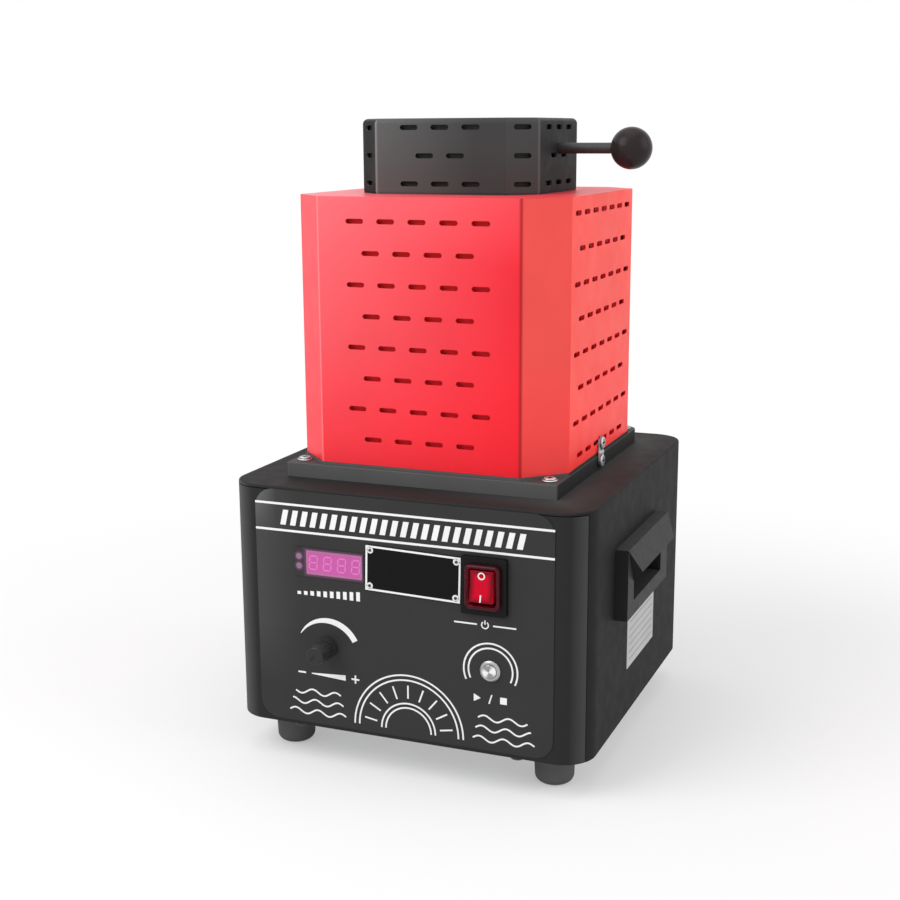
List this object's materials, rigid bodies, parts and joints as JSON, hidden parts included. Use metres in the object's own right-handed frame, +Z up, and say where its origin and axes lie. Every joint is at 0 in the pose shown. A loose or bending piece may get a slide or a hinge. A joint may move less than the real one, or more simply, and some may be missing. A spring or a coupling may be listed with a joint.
{
  "type": "electric melting furnace",
  "caption": "Bench-top electric furnace for melting gold: steel control case with a slotted octagonal heating tower and a lift-off lid.",
  "frame": {"origin": "on the table, under the middle of the whole object, knob and fuse cap included", "axes": "+Z up, -Y towards the control panel, +X to the right as seen from the front, the way the lid's handle points"},
  "size_m": [0.237, 0.234, 0.3556],
  "materials": {
    "black_ball": "polished black",
    "black_steel": "glossy black",
    "board_green": "green circuit board",
    "boot_maroon": "translucent dark maroon",
    "brass": "machined brass",
    "bright_steel": "turned steel",
    "capacitor_blue": "moulded",
    "case_paint": "fine satin dark grey powder coat",
    "copper": "bare copper tube",
    "digits": "pink digit block",
    "fan_plastic": "black",
    "fibre": "white ceramic wool",
    "foot_rubber": "matt black",
    "graphite": "dark graphite",
    "grip_plastic": "textured dark grey",
    "jacket_paint": "dull dark red",
    "knob_black": "moulded black",
    "label_film": "satin printed film",
    "lamp": "pink lamps",
    "lid_paint": "satin graphite grey",
    "nameplate_black": "black plate",
    "pan_zinc": "galvanised sheet",
    "red_paint": "glossy red stove enamel",
    "refractory": "chalky off-white",
    "rocker_red": "bright red",
    "sink_aluminium": "extruded",
    "switch_black": "moulded black",
    "tray_paint": "satin black",
    "window_tint": "dark purple tint",
    "wire_sleeve": "wire insulation",
    "zinc": "zinc plated"
  },
  "bodies": {
    "furnace": {"case_cover": "case_paint", "front_panel": "case_paint", "rear_panel": "case_paint", "base_pan": "pan_zinc", "seam_strips": "case_paint", "feet": "foot_rubber", "bottom_screws": "black_steel", "nuts": "zinc", "deck_tray": "tray_paint", "deck_board": "refractory", "tray_screws": "zinc", "lead_bushings": "refractory", "side_straps": "zinc", "strap_screws": "zinc", "furnace_shell": "red_paint", "shell_top": "red_paint", "inner_jacket": "jacket_paint", "fibre_blanket": "fibre", "bottom_brick": "refractory", "furnace_cup": "refractory", "mouth_collar": "refractory", "coil": "copper", "crucible_pad": "refractory", "front_label": "label_film", "display_window": "window_tint", "display_module": "digits", "indicator_lamps": "lamp", "control_board": "board_green", "nameplate": "nameplate_black", "nameplate_rivets": "black_steel", "switch_body": "switch_black", "switch_boot": "boot_maroon", "adjust_control": "bright_steel", "button_barrel": "bright_steel", "button_spring": "bright_steel", "grip_right": "grip_plastic", "grip_left": "grip_plastic", "fan_frame": "fan_plastic", "power_inlet": "switch_black", "contact_tabs": "brass", "rear_screws": "zinc", "fuse_holder": "switch_black", "board_posts": "brass", "power_board": "board_green", "heat_sinks": "sink_aluminium", "capacitors": "capacitor_blue", "coil_terminals": "brass", "mains_wires": "wire_sleeve"},
    "lid": {"lid_shell": "lid_paint", "lid_plate": "lid_paint", "lid_block": "refractory", "handle_rod": "black_steel", "handle_ball": "black_ball", "handle_nut": "zinc"},
    "crucible": {"crucible": "graphite"},
    "knob": {"knob": "knob_black", "spindle": "bright_steel"},
    "rocker": {"rocker": "rocker_red"},
    "button": {"button_cap": "bright_steel"},
    "fan": {"fan_rotor": "fan_plastic"}
  },
  "joints": [
    {"name": "lid_lift", "type": "slide", "parent": "furnace", "child": "lid", "axis": [0, 0, 1], "range_m": [0, 0.15]},
    {"name": "crucible_lift", "type": "slide", "parent": "furnace", "child": "crucible", "axis": [0, 0, 1], "range_m": [0, 0.0115]},
    {"name": "knob_turn", "type": "hinge", "parent": "furnace", "child": "knob", "pos_m": [-0.0441, -0.1, 0.0697], "axis": [0, 1, 0], "range_deg": [0, 270]},
    {"name": "switch_rock", "type": "hinge", "parent": "furnace", "child": "rocker", "pos_m": [0.0488, -0.1005, 0.1159], "axis": [1, 0, 0], "range_deg": [0, 16]},
    {"name": "button_press", "type": "slide", "parent": "furnace", "child": "button", "axis": [0, 1, 0], "range_m": [0, 0.001], "stiffness_N_per_m": 1200, "deforming": ["button_spring"]},
    {"name": "fan_spin", "type": "hinge", "parent": "furnace", "child": "fan", "pos_m": [-0.035, 0.1105, 0.0853], "axis": [0, 1, 0], "continuous": true}
  ]
}
